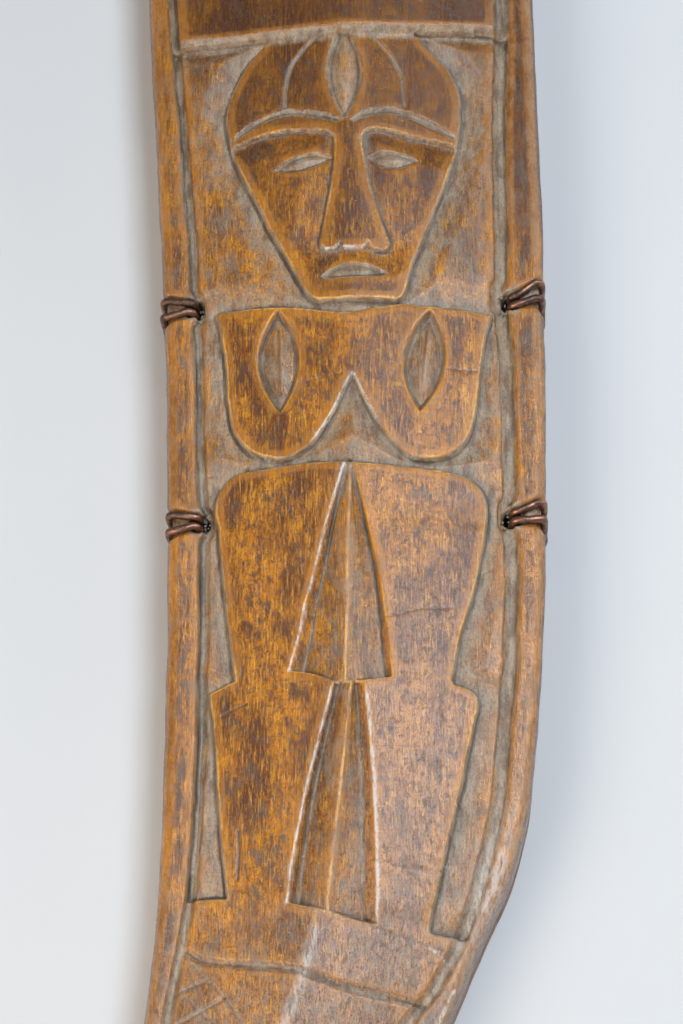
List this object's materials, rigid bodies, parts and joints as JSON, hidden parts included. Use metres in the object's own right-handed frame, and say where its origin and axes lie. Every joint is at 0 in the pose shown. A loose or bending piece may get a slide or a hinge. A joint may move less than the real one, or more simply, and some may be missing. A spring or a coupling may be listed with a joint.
{
  "type": "carved knife scabbard with knife",
  "caption": "Carved wooden knife scabbard of two boards lashed with copper wire, with a standing figure in relief, and its knife, which slides out.",
  "frame": {"origin": "on the flat back, under the middle of the carved figure", "axes": "+Z out of the carved face, +Y along the scabbard towards the knife's handle, +X to the right of the carved figure"},
  "size_m": [0.0866, 0.468, 0.0223],
  "materials": {
    "carved_wood": "satin",
    "back_wood": "satin",
    "grip_wood": "satin",
    "copper_wire": "satin",
    "brass_fittings": "satin",
    "steel": "satin"
  },
  "bodies": {
    "scabbard": {"face_board": "carved_wood", "back_board": "back_wood", "mouth_lashing_left": "copper_wire", "mouth_lashing_right": "copper_wire", "shoulder_lashing_left": "copper_wire", "shoulder_lashing_right": "copper_wire", "upper_lashing_left": "copper_wire", "upper_lashing_right": "copper_wire", "lower_lashing_left": "copper_wire", "lower_lashing_right": "copper_wire", "toe_lashing_left": "copper_wire", "toe_lashing_right": "copper_wire"},
    "knife": {"blade": "steel", "ferrule": "brass_fittings", "grip": "grip_wood", "front_wire_binding": "copper_wire", "rear_wire_binding": "copper_wire", "butt_cap": "brass_fittings", "tang_rove": "brass_fittings", "grip_pin_1": "brass_fittings", "grip_pin_2": "brass_fittings"}
  },
  "joints": [
    {"name": "knife_draw", "type": "slide", "parent": "scabbard", "child": "knife", "axis": [0, 1, 0], "range_m": [0, 0.272]}
  ]
}
